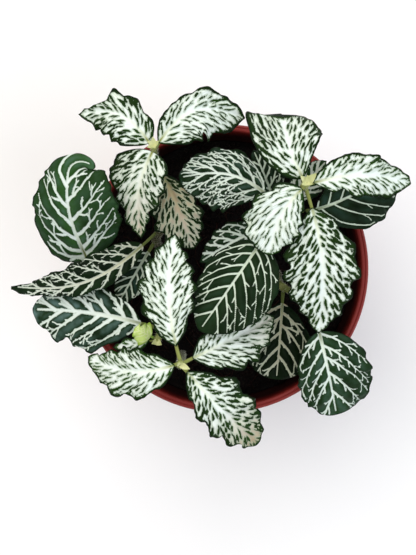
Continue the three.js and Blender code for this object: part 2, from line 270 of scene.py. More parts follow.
# What each kind of blade has: how ragged and crimped its margin is, the angles of its veins from the midrib
# in degrees, and the lengths and radii of its veins or slits
looks = {
    "white": dict(
        ragged=0.6, crimp=0.8, scallop=0.9, start=1.3, angles=(36, 18), bend=-20, sway=4, fan=15,
        slits=1200, slitGap=1.1, slitLength=(1.8, 9), slitRadius=(0.38, 0.56), bare=0.35, band=1.05,
        mouthGap=1.15, toothGap=0.92, deepMouths=0.5, mouthReach=((0.16, 0.4), (0.5, 1.3)),
        mouthRadius=(0.42, 0.6)),
    "netted": dict(
        ragged=0.35, crimp=0.6, scallop=0.3, angles=(54, 36), bend=20, sway=5, reach=0.94, count=6,
        radius=(0.66, 0.26), midrib=(0.95, 0.35), branchGap=2.1, branchLength=(2, 4.5),
        spurLength=(0.6, 1.5), long=0.55, branchAngle=40, wander=0.05),
    "dark": dict(
        ragged=0.2, crimp=0.4, scallop=0.15, angles=(58, 40), bend=30, sway=3, reach=0.94, count=6,
        radius=(0.46, 0.24), midrib=(0.75, 0.28), branchGap=2.6, branchLength=(2.5, 6), spurLength=(0.4, 1),
        long=0.7, branchAngle=34, wander=0.03),
    "young": dict(
        ragged=0.25, crimp=0.3, scallop=0, angles=(56, 40), bend=10, sway=4, reach=0.9, count=5,
        radius=(0.3, 0.15), midrib=(0.45, 0.2), branchGap=1.2, branchLength=(1, 2), spurLength=(0.4, 0.8),
        long=0.3, branchAngle=40, wander=0.1),
}

leafRows = {
    "leaf_back_left_1": dict(
        on="backLeft", tip=(-67, 70.5, 134), arch=7, bow=6.5, wide=(11.5, 9.8), widest=0.42, base=0.5,
        stalk=0.03, ragged=0.35, scallop=0.5,
        lobes=((1, 0.64, 2, 0, 2.6), (1, 0.78, -3.6, 0, 4), (1, 0.3, -1.2, 0, 5), (-1, 0.8, 1.4, 0, 3),
            (-1, 0.22, 1.6, 0, 5)),
        slitRadius=(0.52, 0.76), deepMouths=0.65, mouthRadius=(0.46, 0.66)),
    "leaf_back_left_2": dict(
        on="backLeft", tip=(9, 68.5, 138), arch=8, bow=-9, wide=(9, 15.5), widest=0.52, base=0.65,
        stalk=0.03, ragged=0.4, scallop=0.6,
        lobes=((-1, 0.4, -1.6, 0, 3), (-1, 0.68, 0.9, 0, 3), (-1, 0.88, 1.2, 0, 3), (1, 0.5, -3.2, 0, 4.5),
            (1, 0.79, -1.5, 0, 2), (1, 0.89, 3.4, 0, 3.5), (1, 0.15, 1, 0, 4))),
    "leaf_back_left_3": dict(
        on="backLeft", tip=(-38, 13.5, 138), arch=3, bow=4, wide=(12, 13), widest=0.33, base=0.4,
        stalk=0.03, roll=(11, 15),
        lobes=((1, 0.25, 3.4, 0, 6), (1, 0.62, -1.8, 0, 7), (-1, 0.05, 1.2, 0, 3), (-1, 0.76, -2.2, 0, 3.5),
            (-1, 0.3, -1.2, 0, 4)),
        warm=(0, 0.25, 0.7), slitRadius=(0.46, 0.7), deepMouths=0.7, bare=0.2, mouthRadius=(0.45, 0.66)),
    "leaf_back_left_4": dict(
        on="backLeftLow", tip=(-14.5, 9, 126), bow=-1, wide=(9.8, 13), widest=0.56, base=0.9, point=0.65,
        stalk=0.14, warm=(1, 0.75, 0.45), tone=0.1, slitRadius=(0.55, 0.78), bare=0,
        mouthRadius=(0.52, 0.75), toothGap=1.05, deepMouths=0.8),
    "leaf_back_right_1": dict(
        on="backRight", drop=2, tip=(26, 67.5, 148), arch=8, bow=-2.5, wide=(15.5, 16.5), widest=0.8,
        base=0.8, point=0.26, stalk=0.05, ragged=0.3, scallop=0, lobe=0, crimp=0.3,
        lobes=((-1, 0.91, 2.5, 8.5, 2.4), (-1, 0.12, 1.5, 0, 5), (1, 0.88, -3.2, 0, 4),
            (1, 0.97, 0, 1.6, 3)),
        slitRadius=(0.52, 0.76), bare=0.2, deepMouths=0.75, mouthRadius=(0.48, 0.68), toothGap=1.1,
        band=1.2),
    "leaf_back_right_2": dict(
        on="backRight", tip=(83.5, 38, 144), arch=6, bow=-3.5, wide=(9.6, 10), widest=0.42, point=0.62,
        stalk=0.04,
        lobes=((1, 0.27, -3.2, 0, 3.5), (1, 0.78, 2.2, 0, 5), (-1, 0.75, -0.9, 0, 5), (1, 0.08, -1, 0, 3)),
        scallop=0.2, ragged=0.35, lobe=0.02, tone=0.5, deepMouths=0.3),
    "leaf_back_right_3": dict(
        on="backRight", tip=(19, 5.5, 154), arch=3, bow=3.5, wide=(11, 14.5), widest=0.6, point=0.65,
        stalk=0.04, lobes=((1, 0.1, 2, 0, 4), (-1, 0.9, -1, 0, 2)), tone=0.5, slitRadius=(0.3, 0.44),
        bare=0.6, slitGap=1.3, mouthRadius=(0.38, 0.52), deepMouths=0.2),
    "leaf_back_right_4": dict(
        on="backRight", drop=2.5, tip=(43, -30, 134), arch=6, bow=-4, wide=(16, 17.5), widest=0.48,
        base=0.75, stalk=0.14,
        lobes=((-1, 0.25, -1.2, 0, 5), (1, 0.42, -1.5, 0, 2.5), (-1, 0.62, -1.2, 0, 2.5)), veins=6,
        slitRadius=(0.68, 0.98), bare=0.1, slitGap=1.2, mouthRadius=(0.54, 0.78), deepMouths=0.75,
        toothGap=1.15, band=0.9),
    "leaf_right_dark": dict(
        on="rightMid", tip=(81, 45.5, 124), bow=5.5, peak=0.28, wide=(12, 17), widest=0.5, point=0.7,
        stalk=0.2, lobe=0.02, look="dark", tone=0.15, blue=0.5, count=5, radius=(0.46, 0.34), long=0.35,
        spurLength=(0.2, 0.5), branchGap=4.5),
    "leaf_middle_netted": dict(
        on="rightMid", tip=(-21, 41.5, 134), arch=8, bow=7, wide=(17, 11.5), widest=0.5, point=0.55,
        stalk=0.16, look="netted", tone=0.1, blue=0.5, angles=(44, 26), bend=12, long=0.9, branchAngle=28,
        branchLength=(3, 8), spurLength=(0.8, 2), radius=(0.52, 0.3)),
    "leaf_middle_small": dict(
        on="rightLow", tip=(13.5, 55, 126), wide=(7, 9), lobe=0.03, look="dark", tone=0.1, blue=0.3),
    "leaf_middle_large": dict(
        on="rightMid", tip=(-11.5, -28, 148), arch=9, wide=(20, 14.6), base=0.45, point=0.6, stalk=0.27,
        lobe=0.02, roll=(10, 10), veins=7, look="dark", tone=0.22, blue=0.15, count=7, branchGap=5.4,
        branchAngle=36, branchLength=(2.5, 5.5), spurLength=(0.3, 0.8), reach=0.97, radius=(0.5, 0.28)),
    "leaf_middle_behind": dict(
        on="rightBase", tip=(-11.5, 3, 121), bow=1, wide=(10, 9), look="netted", tone=0.1, blue=0.3),
    "leaf_front_1": dict(
        on="front", tip=(-22.5, 15.5, 144), arch=6, bow=-4, wide=(12.8, 12.2), widest=0.5, base=0.8,
        veins=6, bare=0.5),
    "leaf_front_2": dict(
        on="front", tip=(-63, -41, 130), arch=6, bow=-4.5, wide=(12, 10.3), widest=0.48, point=0.75,
        stalk=0.03, lobes=((1, 0.85, -1.6, 0, 2.5),), tone=0.6),
    "leaf_front_3": dict(
        on="front", tip=(15, -81.5, 130), arch=6, bow=0.5, wide=(13.6, 11), widest=0.58, point=0.55,
        stalk=0.06,
        lobes=((-1, 0.33, 2.4, 0, 4.5), (1, 0.45, -1, 0, 2.5), (1, 0.72, -1, 0, 2), (1, 0.87, -1.4, 0, 2)),
        warm=(0, 0, 0.9), slitRadius=(0.62, 0.9), bare=0.25, mouthRadius=(0.5, 0.7), toothGap=1.1, band=1.1,
        deepMouths=0.75),
    "leaf_front_4": dict(
        on="front", drop=2, tip=(23.2, -22.5, 128), arch=2, wide=(11, 14.5), widest=0.52, stalk=0.1,
        roll=(-6, -6), warm=(0, 0, 0.5)),
    "leaf_left_round": dict(
        on="left", tip=(-68.5, 51, 150), arch=11, bow=-4, wide=(16.8, 23.8), widest=0.42, base=0.38,
        point=0.5, stalk=0.03, lobe=0.015, roll=(-9, -17), veins=6, look="netted", tone=0.5, blue=0.35,
        hook=dict(begin=0.8, turn=80, lift=4, beside=3.6, thin=0.62, narrow=0.3),
        lobes=((-1, 0.08, 1, -5, 8), (-1, 0.25, 1, 0, 6), (-1, 0.75, -1.2, 0, 14), (1, 0.8, 0.8, 3.5, 5)),
        angles=(50, 36), skew=(0.7, 1), crowd=1.7, splay=(42, 18), bend=10, radius=(0.95, 0.34),
        midrib=(1, 0.45), branchGap=4.4, long=0.75, branchAngle=36, branchLength=(3, 8),
        spurLength=(0.3, 0.9), wander=0.1, reach=0.9),
    "leaf_left_long": dict(
        on="middleLeft", tip=(-101, -8.5, 116), arch=13, bow=-10.5, wide=(5.8, 10.5),
        lobes=((-1, 0.92, 2, 0, 8), (1, 0.88, -1.2, 0, 8)), widest=0.32, base=0.48, stalk=0.1, veins=6,
        look="netted", tone=0.0, warm=(0.75, 0.45, 0.25), angles=(46, 24), bend=12, count=8,
        radius=(0.5, 0.22), branchGap=1.9, long=0.75, reach=0.97),
    "leaf_left_low": dict(
        on="youngLow", tip=(-91.5, -19.5, 112), arch=6, bow=2.5, wide=(17, 13), widest=0.5, point=0.55,
        lobe=0.04, lobes=((-1, 0.77, 1.6, 0, 3), (-1, 0.64, -4.2, 0, 2.4), (-1, 0.42, 1.6, 0, 6)),
        look="netted", tone=0.15, blue=1.2, branchAngle=32, branchLength=(2.5, 6), reach=0.97,
        radius=(1.15, 0.4), midrib=(1.4, 0.6), branchGap=2.2, taper=0.966),
    "leaf_right_low": dict(
        on="rightFrontLow", tip=(25, -53, 112), arch=3, wide=(15, 15.5), widest=0.6, point=0.4, lobe=0.03,
        look="dark", tone=0, warm=(0.85, 0.75, 0.6), radius=(0.7, 0.32), count=5),
    "leaf_right_round": dict(
        on="rightFront", tip=(54, -70, 110), arch=8, wide=(21.5, 15), widest=0.58, base=0.5, point=0.45,
        stalk=0.24, lobe=0.02, veins=6, look="netted", tone=0.22, blue=0.4,
        lobes=((-1, 0.55, -1.5, 0, 10),), radius=(0.7, 0.3), bend=24, branchGap=2.7, count=5),
    "leaf_young_1": dict(
        on="young", drop=-2.3, tip=(-41, -27.2, 138.6), arch=2, wide=(4.6, 4.6), stalk=0.1, base=0.45,
        point=0.5, puff=0.2, wave=1.8, fold=24, curl=70, scallop=1.1,
        lobes=((1, 0.5, -0.8, 0, 3), (1, 0.3, 1, 0, 1), (-1, 0.4, 1.8, 0, 3), (-1, 0.75, 1, 0, 1.2)),
        veins=3, look="young", spacing=0.2, relief=0.12, ragged=0.6, crimp=0.9),
    "leaf_young_2": dict(
        on="young", drop=1, tip=(-51.5, -36.5, 134), arch=5.5, wide=(3.4, 3.4), puff=0.2, wave=0.3, veins=3,
        spacing=0.22, relief=0.12, tone=0.7, ragged=0.2, crimp=0.2),
    "leaf_right_small": dict(
        on="rightMid", drop=3.6, tip=(47, 49.5, 130), arch=4, veins=3, lobe=0.03, look="netted", tone=0.2,
        warm=(0.5, 0.5, 0.5)),
    "leaf_left_small": dict(
        on="middleLow", tip=(-51, -18, 118), arch=3, veins=3, lobe=0.03, look="dark", tone=0.1, blue=0.6),
}


def hump(t, peak):
    return np.sin(np.pi * np.clip(t, 0, 1) ** (math.log(0.5) / math.log(peak)))


def halfWidth(leaf, b):
    rising = np.sin(np.pi / 2 * np.clip(b / leaf.widest, 0, 1)) ** leaf.base
    falling = np.clip(np.cos(np.pi / 2 * np.clip((b - leaf.widest) / (1 - leaf.widest), 0, 1)), 0, 1)
    return np.where(b < leaf.widest, rising, falling ** leaf.point)


veinStep = 0.5
veinClearance = 0.65
veinedShare = 0.86  # of the midrib's length carries side veins
veinEnd = 0.97
spineEnd = 0.95


class Midrib:  # the line from the joint to the tip, lifted by its arch and pushed aside by its bow
    def __init__(self, leaf):
        joint = np.array(joints[leaf.on], float) - up * leaf.drop
        self.leaf = leaf
        self.tip = np.array(leaf.tip, float)
        heading = unit((self.tip - joint) * (1, 1, 0))
        self.start = joint + heading * leaf.start
        self.right = np.cross(heading, up)
        self.length = np.linalg.norm(self.tip - self.start)

    def point(self, t):
        lift = hump(t, self.leaf.peak)[..., None]
        straight = self.start + (self.tip - self.start) * t[..., None]
        return straight + (up * self.leaf.arch + self.right * self.leaf.bow) * lift

    def frame(self, t):
        along = unit(self.point(np.minimum(t + 0.002, 1)) - self.point(np.maximum(t - 0.002, 0)))
        normal = unit(up - along * along[..., 2:])
        side = np.cross(along, normal)
        first, last = self.leaf.roll
        twist = np.radians(first + (last - first) * t)[..., None]
        return (along, normal * np.cos(twist) + side * np.sin(twist),
                side * np.cos(twist) - normal * np.sin(twist))


def lobesAt(leaf, side, b):  # how far the lobes of the margin stand out, and how far they lean forward
    out, ahead = 0 * b, 0 * b
    for lobeSide, place, outward, forward, half in leaf.lobes:
        bump = np.exp(-((b - place) * leaf.length / half) ** 2) * (side == lobeSide)
        out = out + outward * bump
        ahead = ahead + forward * bump
    return out, ahead


def marginAt(leaf, side, p):  # the blade's half width in millimetres, p along it
    return float(np.interp(p, leaf.stations, leaf.margins[side > 0]))


def veinHeading(leaf, side, p, q):  # the way a side vein runs at a spot, turned from the midrib
    first, last = leaf.angles
    plain = first + (last - first) * min(max(p / leaf.length, 0), 1)
    angle = plain * leaf.skew[side > 0]
    angle += leaf.splay[side > 0] * math.exp(-max(p, 0) / (0.12 * leaf.length))
    angle += leaf.sway * math.sin(0.8 * p + 0.55 * abs(q) + side) * math.sin(0.31 * p - 0.6 * abs(q))
    # Between two side veins the finer ones run together, like the barbs of two feathers side by side
    root = p - abs(q) / math.tan(math.radians(plain - 4))
    turn = 2 * math.pi * (leaf.veins * root / (veinedShare * leaf.length) - 0.3 - 0.3 * (side > 0))
    angle -= leaf.fan * math.sin(turn) * min(abs(q) / 4, 1)
    return side * math.radians(angle - leaf.bend * min(abs(q) / leaf.wide[side > 0], 1))


def trace(leaf, side, start):  # a line along the side veins, from the midrib to the margin
    p, q = start, 0.0
    line = [(p, q)]
    while p < veinEnd * leaf.length and len(line) < 140:
        heading = veinHeading(leaf, side, p, q)
        p += veinStep * math.cos(heading)
        q += veinStep * math.sin(heading)
        if p > 0 and abs(q) > spineEnd * marginAt(leaf, side, p):
            break
        line.append((p, q))
    return np.array(line)


def strokesAlong(line, radii):  # each stroke is two spots, with a radius at each
    return [(*line[k], radii[k], *line[k + 1], radii[k + 1]) for k in range(len(line) - 1)]


def tapered(line, first, last):
    return strokesAlong(line, np.linspace(first, last, len(line)))


def spineOf(leaf):
    return np.stack([np.linspace(0, spineEnd * leaf.length, 60), np.zeros(60)], -1)


class Web:  # a leaf's veins as strokes, with the cells of the blade that each one has taken
    def __init__(self, leaf, rng):
        self.leaf = leaf
        self.rng = rng
        self.strokes = []
        self.taken = {}
        self.parents = [0]
        self.buds = []

    def cell(self, p, q):
        return round(p / veinClearance), round(q / veinClearance)

    def isFree(self, p, q, own):
        near = (-1, 0, 1)
        row, column = self.cell(p, q)
        others = {self.taken.get((row + i, column + j), own) for i in near for j in near}
        return all(line in (own, self.parents[own]) or self.parents[line] == own for line in others)

    def grow(self, side, p, q, heading, radius, length, depth, parent):
        leaf, rng = self.leaf, self.rng
        own = len(self.parents)
        self.parents.append(parent)
        lean = heading - veinHeading(leaf, side, p, q)
        turn = rng.choice((-1, 1))
        run, following = 0.0, leaf.branchGap * rng.uniform(0.6, 1.2)
        while run < length:
            wish = veinHeading(leaf, side, p, q) + lean * math.exp(-run / 9)
            heading += 0.5 * (wish - heading) + rng.normal(0, leaf.wander)
            p2 = p + veinStep * math.cos(heading)
            q2 = q + veinStep * math.sin(heading)
            outside = abs(q2) > leaf.reach * marginAt(leaf, side, p2) or q2 * side < 0
            if outside or not 0 < p2 < veinEnd * leaf.length:
                break
            if run > 1 and not self.isFree(p2, q2, own):
                break
            self.strokes.append((p, q, radius, p2, q2, radius * leaf.taper))
            self.taken[self.cell(p2, q2)] = own
            p, q, radius, run = p2, q2, radius * leaf.taper, run + veinStep
            if depth < 2 and run > following:
                following += leaf.branchGap * rng.uniform(0.7, 1.3)
                isLong = rng.random() < leaf.long * (0.6 if depth else min(1, 0.3 + run / 10))
                size = rng.uniform(*(leaf.branchLength if isLong else leaf.spurLength))
                away = heading + turn * math.radians(leaf.branchAngle) * rng.uniform(0.8, 1.2)
                thick = radius * (0.8 if isLong else 0.62)
                self.buds.append((side, p, q, away, thick, size / (1 + 0.5 * depth), depth + 1, own))
                heading -= 0.13 * turn
                turn = -turn
        if depth < 2 and run > 3.5 and rng.random() < 0.6:  # the vein forks at its end
            for turn in (-0.45, 0.45):
                self.buds.append((side, p, q, heading + turn, radius * 0.85, rng.uniform(1, 2.4), 3, own))


def growVeins(leaf, rng):  # every vein as strokes, and the side veins alone
    web = Web(leaf, rng)
    web.strokes += tapered(spineOf(leaf), *leaf.midrib)
    main = tapered(spineOf(leaf), 0.3, 0.1)
    for side in (-1, 1):
        for k in range(leaf.count):
            share = (k + 0.15 + 0.35 * (side > 0) + rng.uniform(-0.12, 0.12)) / leaf.count
            start = veinedShare * leaf.length * max(share, 0) ** leaf.crowd
            first = len(web.strokes)
            web.grow(side, start, 0.0, veinHeading(leaf, side, start, 0), leaf.radius[0], 60, 0, 0)
            main += web.strokes[first:]
    while web.buds:
        waiting, web.buds = web.buds, []
        for bud in waiting:
            web.grow(*bud)
    low = leaf.radius[1]
    strokes = [(p0, q0, max(r0, 0.8 * low), p1, q1, max(r1, 0.7 * low))
               for p0, q0, r0, p1, q1, r1 in web.strokes]
    return strokes, main


slitCell = 0.2
slitBorder = 6.0


class Slits:  # the green slits of a white leaf, drawn so that a strip of white is left between them
    def __init__(self, leaf, rng):
        self.leaf = leaf
        self.rng = rng
        self.strokes = []
        reach = max(leaf.wide) + slitBorder
        self.corner = np.array([-slitBorder, -reach])
        size = (np.array([leaf.length + slitBorder, reach]) - self.corner) / slitCell
        self.taken = np.zeros(size.astype(int) + 1, bool)

    def walk(self, side, p, q, length, way):  # along the side veins, outwards or inwards
        phase, swing = self.rng.uniform(0, 6.3), self.rng.normal(0, 0.08)
        line = []
        for k in range(int(length / veinStep) + 1):
            cell = ((np.array([p, q]) - self.corner) / slitCell).astype(int)
            if (cell < 0).any() or (cell >= self.taken.shape).any() or self.taken[tuple(cell)]:
                break
            line.append((p, q))
            heading = veinHeading(self.leaf, side, p, q) + swing + 0.22 * math.sin(phase + 0.9 * k)
            p += way * veinStep * math.cos(heading)
            q += way * veinStep * math.sin(heading)
            if q * side < 0.5 or p < 0:
                break
        return np.array(line)

    def take(self, line, gap, beyond):  # no other slit may come as close as this beside it or at its ends
        low = np.maximum(((line.min(0) - 2 - self.corner) / slitCell).astype(int), 0)
        high = ((line.max(0) + 2 - self.corner) / slitCell).astype(int) + 1
        block = self.taken[low[0]:high[0], low[1]:high[1]]
        spots = np.moveaxis(np.indices(block.shape), 0, -1) + low
        away = (spots * slitCell + self.corner)[:, :, None] - line
        ahead = unit(np.gradient(line, axis=0))
        lengthwise = (away * ahead).sum(-1)
        sideways = away[..., 0] * ahead[:, 1] - away[..., 1] * ahead[:, 0]
        block |= ((lengthwise / beyond) ** 2 + (sideways / gap) ** 2 < 1).any(-1)

    def draw(self, side, line, radius, isMouth, barbShare):  # a mouth is pointed at one end
        share = np.linspace(0, 1, len(line))
        form = share ** 0.7 if isMouth else np.sin(np.pi * share) ** 0.8
        self.strokes += strokesAlong(
            line, radius * (0.15 + 0.85 * form) * self.rng.uniform(0.8, 1.25, len(line)))
        if barbShare and self.rng.random() < barbShare:  # a short side slit leaves this one
            p, q = line[int(len(line) * self.rng.uniform(0.35, 0.7))]
            heading = veinHeading(self.leaf, side, p, q) + self.rng.choice((-0.6, 0.6))
            length = self.rng.uniform(0.8, 1.8)
            end = (p + length * math.cos(heading), q + length * math.sin(heading))
            self.strokes.append((p, q, 0.7 * radius, *end, 0.1))


def cutSlits(leaf, rng):  # the green slits that run with the side veins, and the side veins
    slits = Slits(leaf, rng)
    main = tapered(spineOf(leaf), 0.3, 0.1)
    shortest, longest = leaf.slitLength
    for side in (-1, 1):
        for k in range(leaf.veins):
            start = veinedShare * leaf.length * (k + 0.3 + 0.3 * (side > 0)) / leaf.veins
            main += tapered(trace(leaf, side, start), 0.25, 0.1)
        # Slits that open into the green margin, and leave white teeth between them
        p, before = 0.0, 0.0
        while p < 0.99 * leaf.length:
            margin = marginAt(leaf, side, p)
            p += leaf.mouthGap * rng.uniform(0.75, 1.25) / math.hypot(1, (margin - before) / 0.3)
            before = margin
            isDeep = rng.random() < leaf.deepMouths
            length = max(margin * rng.uniform(*leaf.mouthReach[isDeep]), 1.4)
            line = slits.walk(side, p, side * (margin + 0.6), length + 0.8, -1)[::-1]
            if len(line) > 3:
                radius = rng.uniform(*leaf.mouthRadius) * (1.3 if isDeep else 1)
                slits.take(line, leaf.toothGap, 0.3)
                slits.draw(side, line, radius, True, 0.7 if isDeep else 0)
        # Slits of the white inside, the long ones first
        for attempt in range(leaf.slits):
            p = rng.uniform(0.02, 0.96) * leaf.length
            margin = marginAt(leaf, side, p)
            share = rng.uniform(0.05, 0.9)
            if rng.random() < leaf.bare * (1 - share) ** 1.5:
                continue
            most = longest * (0.7 + 0.3 * share)
            line = slits.walk(side, p, side * share * margin, rng.uniform(0.6, 1) * most, 1)
            least = shortest + (most - shortest) * (1 - attempt / leaf.slits)
            if (len(line) - 1) * veinStep >= 0.7 * least:
                radius = rng.uniform(*leaf.slitRadius) * (0.7 + 0.35 * share)
                slits.take(line, leaf.slitGap * (1.15 - 0.25 * share), 0.4)
                slits.draw(side, line, radius, False, 0.55)
    return slits.strokes, main


def insideStrokes(strokes, p, q, far=2.5):  # millimetres inside the nearest stroke, negative outside
    best = np.full(p.shape, -far)
    for p0, q0, r0, p1, q1, r1 in strokes:
        reach = far + max(r0, r1)
        near = abs(p - (p0 + p1) / 2) < reach + abs(p1 - p0) / 2
        near &= abs(q - (q0 + q1) / 2) < reach + abs(q1 - q0) / 2
        a, b = p[near] - p0, q[near] - q0
        dp, dq = p1 - p0, q1 - q0
        share = np.clip((a * dp + b * dq) / (dp * dp + dq * dq + 1e-9), 0, 1)
        depth = r0 + (r1 - r0) * share - np.hypot(a - share * dp, b - share * dq)
        best[near] = np.maximum(best[near], depth)
    return best


def hooked(leaf, rib, b, points):  # swings a leaf's tip to the right, over the blade beside it
    hook = leaf.hook
    if hook is None:
        return points
    share = np.clip((b - hook["begin"]) / (1 - hook["begin"]), 0, 1)
    share = share * share * (3 - 2 * share)
    begin = np.array(leaf.stalk + (1 - leaf.stalk) * hook["begin"])
    pivot = rib.point(begin) + rib.frame(begin)[2] * hook["beside"]
    swung = turnedAbout(points - pivot, -np.radians(hook["turn"]) * share)
    return pivot + swung + up * hook["lift"] * share[..., None]


# For all blades: the wavelengths of the left and right margins, the valleys beside raised veins, the stalk
blade = dict(
    seed=11, rags=((3.3, 6.1, 9.7), (2.9, 5.3, 8.9)), crimps=((3.9, 5.1), (3.3, 5.7)),
    bandWaves=(1.7, 3.1, 5.2), valley=1.1, edgeThickness=0.1, midThickness=0.4,
    stalkRadii=(0.95, 0.75, 0.5, 0.18), stalkDepths=(0.8, 1.45, 1.15), stalkSides=10, stalkRings=40,
    stalkEnd=0.93, stalkIntoStem=1.2)


def makeLeaf(name, row, number):
    leaf = SimpleNamespace(**{**leafDefaults, **looks[row.get("look", "white")], **row})
    rng = np.random.default_rng(number + blade["seed"])
    rib = Midrib(leaf)
    leaf.length = rib.length * (1 - leaf.stalk)
    share = np.linspace(0, 1, 240)
    leaf.stations = share * leaf.length
    leaf.margins = [np.maximum(wide * halfWidth(leaf, share) + lobesAt(leaf, side, share)[0], 0.3)
                    for side, wide in zip((-1, 1), leaf.wide)]
    # The grid: rows lie closer at the ends, and the columns run from the left margin to the right one
    s = np.linspace(0, 1, int(leaf.length / leaf.spacing) + 1)
    u = (0.3 * s + 0.7 * (1 - np.cos(np.pi * s)) / 2)[:, None]
    left, right = (max(int(wide / leaf.spacing), 5) for wide in leaf.wide)
    v = np.concatenate([np.linspace(-1, 0, left + 1)[:-1], np.linspace(0, 1, right + 1)])[None, :]
    across = abs(v)
    isRight = v > 0
    b = u + leaf.lean * across * np.sin(np.pi * u)
    t = leaf.stalk + (1 - leaf.stalk) * b
    along, normal, side = rib.frame(t)
    between = np.sin(np.pi * leaf.veins * u) ** 2
    fade = np.sqrt(np.clip(np.sin(np.pi * u), 0, 1))
    p = b * leaf.length

    def eachSide(waves):
        return np.where(isRight, ripple(rng, p, waves[1]), ripple(rng, p, waves[0]))

    # The margin, with its lobes and scallops
    out, ahead = lobesAt(leaf, np.sign(v), b)
    lobed = 1 + leaf.lobe * across ** 3 * (2 * between - 1) * fade
    width = np.where(isRight, leaf.wide[1], leaf.wide[0]) * halfWidth(leaf, b)
    ragged = leaf.ragged * eachSide(blade["rags"])
    scallop = (leaf.scallop * (1.4 * between ** 0.5 - 0.9) + ragged) * fade + out
    reach = across * (np.maximum(width * lobed, 0.25) + scallop * across ** 2)
    if leaf.hook:
        share = np.clip((b - leaf.hook["begin"]) / 0.08, 0, 1)
        reach = reach * (1 - np.where(isRight, leaf.hook["thin"], leaf.hook["narrow"]) * share)
    q = np.sign(v) * reach
    edge = np.minimum((1 - across) * np.maximum(width, 0.3), (1 - b) * leaf.length)
    # The pattern, as millimetres inside the pale part, and the relief that follows the side veins
    if leaf.look == "white":
        slits, main = cutSlits(leaf, rng)
        band = leaf.band * (1 + 0.35 * ripple(rng, p + 7 * isRight, blade["bandWaves"]))
        white = np.minimum(edge - band, -insideStrokes(slits, p, q))
    else:
        veins, main = growVeins(leaf, rng)
        white = insideStrokes(veins, p, q)
    away = np.maximum(-insideStrokes(main, p, q), 0)
    raised = 1 - np.exp(-(away / blade["valley"]) ** 2)
    slope = np.radians(leaf.fold - leaf.curl * across / 2)
    waved = leaf.wave * across ** 2 * fade * np.sin(np.pi * leaf.veins * u + isRight * 1.9)
    puffed = leaf.puff * 4 * across * (1 - across) * fade * (0.35 + 0.65 * between)
    crimp = leaf.crimp * across ** 4 * fade * eachSide(blade["crimps"])
    fine = leaf.relief * (raised - 0.5) * fade - 0.1 * np.clip(white / 0.3, -1, 1) * (leaf.relief / 0.3)
    height = (np.sqrt(reach ** 2 + 0.6) - 0.77) * np.sin(slope) + waved + puffed + crimp + fine
    sink = blade["edgeThickness"] + blade["midThickness"] * (1 - across ** 2) * np.minimum(width / 3, 1)
    top = rib.point(t) + side * (q * np.cos(slope))[..., None] + along * (ahead * across ** 2)[..., None]
    first, last = leaf.angles
    slant = np.tan(np.radians(first + (last - first) * np.clip(b, 0, 1) - leaf.bend * across / 2))
    fields = {
        "white": white, "edge": edge, "along": np.clip(b, 0, 1), "across": reach, "raised": raised,
        "warm": np.interp(np.clip(b, 0, 1), (0, 0.5, 1), leaf.warm), "tone": leaf.tone, "blue": leaf.blue,
        "row": p - reach / slant + 60 * isRight,
    }
    shape = Shape()
    upper = hooked(leaf, rib, b, top + normal * height[..., None])
    lower = hooked(leaf, rib, b, top + normal * (height - sink)[..., None])
    upper = shape.grid(upper, (0.01, 0.01, 0.99, 0.6), **fields)
    lower = shape.grid(lower, (0.01, 0.62, 0.99, 0.88), **fields, under=1.0)
    shape.strip(rimOf(upper), rimOf(lower), (0.01, 0.89, 0.99, 0.91))
    # The stalk runs on under the blade as its rib
    t = np.linspace(0, blade["stalkEnd"], blade["stalkRings"])
    along, normal, side = rib.frame(t)
    ribStart = leaf.stalk + 0.2 * (1 - leaf.stalk)
    radius = np.interp(t, (0, leaf.stalk, ribStart, 1), blade["stalkRadii"]) * min(leaf.wide[0] / 7, 1)
    centres = rib.point(t) - normal * np.interp(t, (0, ribStart, 1), blade["stalkDepths"])[:, None]
    centres = hooked(leaf, rib, (t - leaf.stalk) / (1 - leaf.stalk), centres)
    centres[0] -= along[0] * blade["stalkIntoStem"]
    shape.tube(tubeRings(centres, radius, blade["stalkSides"]), (0.01, 0.92, 0.99, 0.98), (0.02, 0.988),
               (0.05, 0.988), stalk=1.0, along=t[:, None], warm=0.3, tone=leaf.tone)
    piece = shape.build(name.replace("leaf_", "blade_"), leafMaterials[leaf.look])
    finishPiece(piece, "leaf_" + leaf.look, name)


leafColours = {
    "white": dict(
        deep="#061603", mid="#2f5417", margin="#091a07", blueish="#47655c", pale="#f1faf5", seam="#a3b59b",
        paleWarm="#a3814e", heart="#dfe4b0", under="#62735a", stalk="#8d9552"),
    "netted": dict(
        deep="#061506", mid="#356027", margin="#0b2009", blueish="#5d7874", pale="#f0faf5", seam="#c3d2c2",
        paleWarm="#ad9470", heart="#cdd8ac", under="#5a6e56", stalk="#66713c"),
    "dark": dict(
        deep="#051204", mid="#2a4820", margin="#0a1f09", blueish="#34514c", pale="#e6f2e6", seam="#bccab4",
        paleWarm="#a98a63", heart="#b9c594", under="#4c624a", stalk="#5f6a38"),
    "young": dict(
        deep="#bcd774", mid="#d6e892", margin="#98b84a", blueish="#a9c05e", pale="#f0f6c8", seam="#cbdc8c",
        paleWarm="#c4d184", heart="#c6d97f", under="#a0b96c", stalk="#93b350"),
}


feathering = dict(white=1, netted=0.45, dark=0.25, young=0.3)


